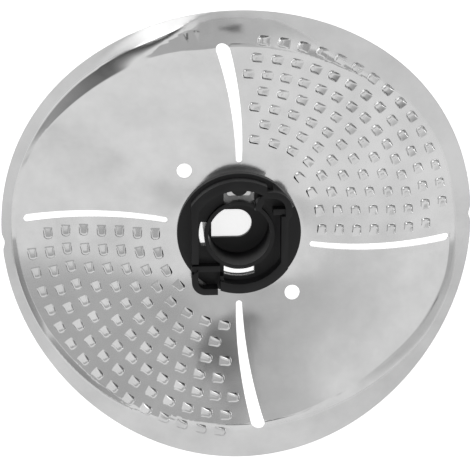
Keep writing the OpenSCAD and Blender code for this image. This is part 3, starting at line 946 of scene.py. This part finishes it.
    def thicken(self, top: bpy.types.Mesh) -> bpy.types.Mesh:
        """Give the pressed top its underside and the walls of its edges.

        Args:
            top: Mesh of the top.

        Returns:
            The closed mesh.
        """
        count = len(top.vertices)
        points = np.empty(count * 3)
        top.vertices.foreach_get("co", points)
        points = points.reshape(-1, 3)
        lifted = np.empty(count)
        top.attributes["lifted"].data.foreach_get("value", lifted)
        pressed = np.empty(count)
        top.attributes["tooth_pressed"].data.foreach_get("value", pressed)
        share = np.clip(lifted / (self.tooth.height * MM), 0, 1)
        under = points.copy()
        plain_z = self.plate_z + self.saddle.height(np.hypot(under[:, 0], under[:, 1]) / MM,
                                                    np.arctan2(under[:, 1], under[:, 0]))
        level = plain_z * MM + lifted
        under[:, 2] = level - between(self.sheet_t, self.tooth.lip_t, share) * MM
        faces = [tuple(p.vertices) for p in top.polygons]
        sides: dict[tuple[int, int], int] = {}
        for face in faces:
            for i, b in enumerate(face):
                a = face[i - 1]
                sides[(a, b)] = sides.get((a, b), 0) + 1
        open_sides = [(a, b) for a, b in sides if (b, a) not in sides]
        walls = [(b, a, a + count, b + count) for a, b in open_sides]
        below = [tuple(c + count for c in reversed(face)) for face in faces]
        mesh = bpy.data.meshes.new(self.name)
        mesh.from_pydata(np.vstack([points, under]).tolist(), [], faces + below + walls)
        mesh.shade_smooth()
        mesh.set_sharp_from_angle(angle=math.radians(50))
        mesh.update()
        self.set_normals(mesh, points / MM, pressed)
        x, y = points[:, 0] / MM, points[:, 1] / MM
        band = self.saddle.brushed(np.hypot(x, y), np.arctan2(y, x))
        mesh.attributes.new("brushed", "FLOAT", "POINT").data.foreach_set("value", np.tile(band, 2))
        return mesh

    def set_normals(self, mesh: bpy.types.Mesh, points: np.ndarray, pressed: np.ndarray) -> None:
        """Give the plain parts of the top the exact directions of the bent sheet.

        Args:
            mesh: The closed mesh, whose first points are the top's.
            points: Places of the top's points.
            pressed: 1 where a point belongs to a tooth.
        """
        plain = pressed < 0.5
        wanted = np.zeros((len(points), 3))
        wanted[plain] = self.saddle.normal(points[plain, 0], points[plain, 1])
        corners = np.empty(len(mesh.loops), dtype=int)
        mesh.loops.foreach_get("vertex_index", corners)
        starts = np.empty(len(mesh.polygons), dtype=int)
        mesh.polygons.foreach_get("loop_start", starts)
        facing = np.empty(len(mesh.polygons) * 3)
        mesh.polygons.foreach_get("normal", facing)
        facing = facing.reshape(-1, 3)
        owner = np.searchsorted(starts, np.arange(len(corners)), side="right") - 1
        count = len(points)
        normals = np.zeros((len(corners), 3))
        top = corners < count
        normals[top] = wanted[corners[top]]
        # Only faces that lie along the sheet take its direction, not the walls or a tooth's flanks
        off = np.einsum("ij,ij->i", normals, facing[owner]) < math.cos(math.radians(24))
        normals[off] = 0
        mesh.normals_split_custom_set(normals.tolist())

    def build(self, material: bpy.types.Material) -> bpy.types.Object:
        """Build the disc and let it stand for its CAD node."""
        top = self.top_object(material)
        mesh = self.thicken(top.data)
        bpy.data.objects.remove(top)
        obj = bpy.data.objects.new(self.name, mesh)
        bpy.context.scene.collection.objects.link(obj)
        finish_piece(obj, "grating_disc", material)
        return obj


@dataclass
class MouldedHub:
    """The hub: the solid's own form, with the rounded edges of a moulding."""

    name: str = "moulded_hub"
    edge_r: float = 0.28
    segments: int = 3
    sharp_deg: float = 28.0

    def build(self, material: bpy.types.Material) -> bpy.types.Object:
        """Build the hub and let it stand for its CAD node."""
        net = bmesh.new()
        net.from_mesh(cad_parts["drive_hub"].data)
        bmesh.ops.remove_doubles(net, verts=net.verts, dist=0.002 * MM)
        bmesh.ops.dissolve_limit(net, angle_limit=math.radians(0.5), verts=net.verts, edges=net.edges)
        mesh = bpy.data.meshes.new(self.name)
        net.to_mesh(mesh)
        net.free()
        obj = bpy.data.objects.new(self.name, mesh)
        bpy.context.scene.collection.objects.link(obj)
        bevel = obj.modifiers.new("edges", "BEVEL")
        bevel.width = self.edge_r * MM
        bevel.segments = self.segments
        bevel.limit_method = "ANGLE"
        bevel.angle_limit = math.radians(self.sharp_deg)
        bevel.use_clamp_overlap = True
        bevel.harden_normals = False
        rounded = plain_mesh(obj, self.name)
        obj.modifiers.clear()
        obj.data = rounded
        rounded.shade_smooth()
        rounded.set_sharp_from_angle(angle=math.radians(40))
        bpy.data.meshes.remove(mesh)
        finish_piece(obj, "drive_hub", material)
        return obj


@dataclass
class Studio:
    """Camera, lamps, floor and backdrop of the photograph. Lengths are in millimetres."""

    aim: tuple[float, float, float] = (-0.4, -0.1, 15.9)
    towards: tuple[float, float, float] = (-0.0586, 0.3102, 0.9489)
    distance: float = 595.0
    lens: float = 127.95
    shift: tuple[float, float] = (-0.0072, 0.0011)

    def place_camera(self) -> bpy.types.Object:
        """Put up the camera and make it the scene's own."""
        data = bpy.data.cameras.new("photo_camera")
        data.lens = self.lens
        data.sensor_width = 36.0
        data.shift_x, data.shift_y = self.shift
        data.clip_start = 0.01
        data.clip_end = 100.0
        camera = bpy.data.objects.new("photo_camera", data)
        back = Vector(self.towards).normalized()
        right = Vector((0.0, 1.0, 0.0)).cross(back).normalized()
        up = back.cross(right)
        turn = Matrix((right, up, back)).transposed().to_4x4()
        camera.matrix_world = Matrix.Translation((Vector(self.aim) + back * self.distance) * MM) @ turn
        bpy.context.scene.collection.objects.link(camera)
        bpy.context.scene.camera = camera
        return camera

    def add_lamp(self, name: str, place: tuple[float, float, float], size: tuple[float, float],
                 watts: float) -> bpy.types.Object:
        """Hang up a soft lamp that faces the disc.

        Args:
            name: The lamp's name.
            place: Where it hangs, in millimetres.
            size: Width and height in millimetres.
            watts: Its power.

        Returns:
            The lamp.
        """
        data = bpy.data.lights.new(name, "AREA")
        data.shape = "RECTANGLE"
        data.size, data.size_y = size[0] * MM, size[1] * MM
        data.energy = watts
        lamp = bpy.data.objects.new(name, data)
        lamp.location = Vector(place) * MM
        facing = Vector(self.aim) - Vector(place)
        lamp.rotation_euler = facing.to_track_quat("-Z", "Y").to_euler()
        bpy.context.scene.collection.objects.link(lamp)
        return lamp

    def build(self) -> None:
        """Put up the camera, the lamps, the floor and the world."""
        self.place_camera()
        self.add_lamp("window", (-468, 749, 485), (500, 500), 1.0)
        self.add_lamp("door", (849, -470, 257), (150, 110), 0.14)
        self.add_card("ceiling", [(-760, -238, 900), (-40, -238, 900), (60, -260, 900), (60, 390, 900),
                                  (-230, 390, 900), (-250, 240, 900), (-760, 240, 900)],
                      0.465, 0, (-80, 60), 0.55)
        self.add_card("ceiling_by_window", [(60, -260, 900), (430, -300, 900), (500, -300, 900), (500, 390, 900),
                                            (60, 390, 900)], 0.55, 0, (180, 480), 0.8)
        self.add_card("photographer_head", [(-70, 90, 880), (-24, 86, 880), (-24, 124, 880), (-70, 120, 880)],
                      0.04)
        self.add_card("photographer", [(-24, 78, 880), (30, 46, 880), (54, 46, 880), (54, 156, 880),
                                       (0, 156, 880), (-24, 126, 880)], 0.1)
        self.add_card("shelf", [(560, -250, 900), (1000, -250, 900), (1000, 900, 900), (560, 900, 900)], 0.42)
        self.add_card("cupboard", [(1000, -350, 0), (1000, 900, 0), (1000, 900, 900), (1000, -350, 900)],
                      0.07, 2, (100, 600), 0.42)
        self.add_card("bookcase", [(1000, 700, 0), (-100, 700, 0), (-100, 700, 900), (1000, 700, 900)],
                      0.07, 2, (100, 600), 0.42)
        self.add_card("chair", [(400, -640, 500), (560, -640, 500), (560, -760, 500), (400, -760, 500)], 0.48)
        self.add_room()
        self.build_world()
        self.build_floor()

    def add_card(self, name: str, corners: Sequence[tuple[float, float, float]], level: float,
                 axis: int = 0, fade: tuple[float, float] | None = None, end: float = 1.0) -> None:
        """Put up a grey surface for the steel to mirror, outside the picture.

        Args:
            name: The card's name.
            corners: Its outline, in millimetres.
            level: How light it is, where 1 is plain white.
            axis: Number of the axis along which it fades.
            fade: Places along the axis between which it fades, in millimetres.
            end: Level after the fade.
        """
        mesh = bpy.data.meshes.new(name)
        mesh.from_pydata([(x * MM, y * MM, z * MM) for x, y, z in corners], [],
                         [tuple(reversed(range(len(corners))))])
        mesh.materials.append(self.glow(name, axis, fade, level, end))
        card = bpy.data.objects.new(name, mesh)
        bpy.context.scene.collection.objects.link(card)

    @staticmethod
    def glow(name: str, axis: int, span: tuple[float, float] | None, start: float,
             end: float) -> bpy.types.Material:
        """Make a plain grey light that may fade along an axis.

        Args:
            name: The material's name.
            axis: Number of the axis.
            span: Places along the axis where the fade starts and ends, in millimetres.
            start: Level before the fade.
            end: Level after it.

        Returns:
            The material.
        """
        made = bpy.data.materials.new(name)
        made.use_nodes = True
        tree = made.node_tree
        tree.nodes.clear()
        glow = add_node(tree, "ShaderNodeEmission", {"Color": (1, 1, 1, 1), "Strength": start})
        if span is not None:
            where = add_node(tree, "ShaderNodeTexCoord").outputs["Object"]
            parts = add_node(tree, "ShaderNodeSeparateXYZ", None, {0: where}).outputs
            level = add_node(tree, "ShaderNodeMapRange",
                             {"interpolation_type": "SMOOTHSTEP", "From Min": span[0] * MM,
                              "From Max": span[1] * MM, "To Min": start, "To Max": end},
                             {"Value": parts[axis]})
            tree.links.new(level.outputs[0], glow.inputs["Strength"])
        add_node(tree, "ShaderNodeOutputMaterial", None, {"Surface": glow.outputs[0]})
        return made

    def add_room(self) -> None:
        """Put up the room round the table as a dome, dark at its foot and light above."""
        count, steps, reach = 48, 12, 1300.0
        rises = [math.pi / 2 * k / steps for k in range(steps)]
        turns = [2 * math.pi * i / count for i in range(count)]
        points = [(reach * MM * math.cos(t) * math.cos(e), reach * MM * math.sin(t) * math.cos(e),
                   reach * MM * math.sin(e)) for e in rises for t in turns]
        faces = [(k * count + i, k * count + (i + 1) % count, (k + 1) * count + (i + 1) % count,
                  (k + 1) * count + i) for k in range(steps - 1) for i in range(count)]
        top = (steps - 1) * count
        mesh = bpy.data.meshes.new("room")
        mesh.from_pydata(points, [], faces + [tuple(range(top, top + count))])
        mesh.materials.append(self.glow("room", 2, (110, 600), 0.07, 0.8))
        room = bpy.data.objects.new("room", mesh)
        bpy.context.scene.collection.objects.link(room)

    def white_for_eyes(self, tree: bpy.types.NodeTree, lit: bpy.types.NodeSocket,
                       strength: float) -> bpy.types.NodeSocket:
        """Show plain white to the camera, reflections and see-through parts, and something else to light.

        Args:
            tree: The material's or world's tree.
            lit: Shader that the light meets.
            strength: Strength of the white.

        Returns:
            The joined shader.
        """
        path = add_node(tree, "ShaderNodeLightPath").outputs
        eyes = add_node(tree, "ShaderNodeMath", {"operation": "MAXIMUM"},
                        {0: path["Is Camera Ray"], 1: path["Is Glossy Ray"]}).outputs[0]
        eyes = add_node(tree, "ShaderNodeMath", {"operation": "MAXIMUM"},
                        {0: eyes, 1: path["Is Transmission Ray"]}).outputs[0]
        kind = "ShaderNodeBackground" if isinstance(tree.id_data, bpy.types.World) else "ShaderNodeEmission"
        white = add_node(tree, kind, {"Color": (1, 1, 1, 1), "Strength": strength}).outputs[0]
        mixed = add_node(tree, "ShaderNodeMixShader", None, {0: eyes, 1: lit, 2: white})
        return mixed.outputs[0]

    def build_world(self) -> None:
        """Light the room evenly and show a white backdrop."""
        world = bpy.data.worlds.new("white_room")
        world.use_nodes = True
        tree = world.node_tree
        tree.nodes.clear()
        soft = add_node(tree, "ShaderNodeBackground", {"Color": (1, 1, 1, 1), "Strength": 0.75}).outputs[0]
        add_node(tree, "ShaderNodeOutputWorld", None, {"Surface": self.white_for_eyes(tree, soft, 1.0)})
        bpy.context.scene.world = world

    def build_floor(self) -> None:
        """Lay a white floor under the disc that keeps its shadow."""
        side = 3.0
        mesh = bpy.data.meshes.new("floor")
        mesh.from_pydata([(-side, -side, 0), (side, -side, 0), (side, side, 0), (-side, side, 0)], [],
                         [(0, 1, 2, 3)])
        floor = bpy.data.objects.new("floor", mesh)
        floor.location.z = -0.0002
        made = bpy.data.materials.new("white_paper")
        made.use_nodes = True
        tree = made.node_tree
        tree.nodes.clear()
        paper = add_node(tree, "ShaderNodeBsdfDiffuse", {"Color": (0.9, 0.9, 0.9, 1)}).outputs[0]
        glow = add_node(tree, "ShaderNodeEmission", {"Color": (1, 1, 1, 1), "Strength": 0.72}).outputs[0]
        lit = add_node(tree, "ShaderNodeAddShader", None, {0: paper, 1: glow}).outputs[0]
        path = add_node(tree, "ShaderNodeLightPath").outputs
        eyes = add_node(tree, "ShaderNodeMath", {"operation": "MAXIMUM"},
                        {0: path["Is Camera Ray"], 1: path["Is Glossy Ray"]}).outputs[0]
        eyes = add_node(tree, "ShaderNodeMath", {"operation": "MAXIMUM"},
                        {0: eyes, 1: path["Is Transmission Ray"]}).outputs[0]
        mixed = add_node(tree, "ShaderNodeMixShader", None, {0: eyes, 1: paper, 2: lit}).outputs[0]
        add_node(tree, "ShaderNodeOutputMaterial", None, {"Surface": mixed})
        mesh.materials.append(made)
        bpy.context.scene.collection.objects.link(floor)


def main() -> None:
    """Dress the frame and put up the studio."""
    logging.basicConfig(level=logging.INFO, format="%(name)s: %(message)s")
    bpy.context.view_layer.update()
    scene = bpy.context.scene
    scene.view_settings.view_transform = "Standard"
    PressedDisc().build(PolishedSteel().material())
    MouldedHub().build(SatinPlastic().material())
    Studio().build()


if __name__ == "__main__":
    main()
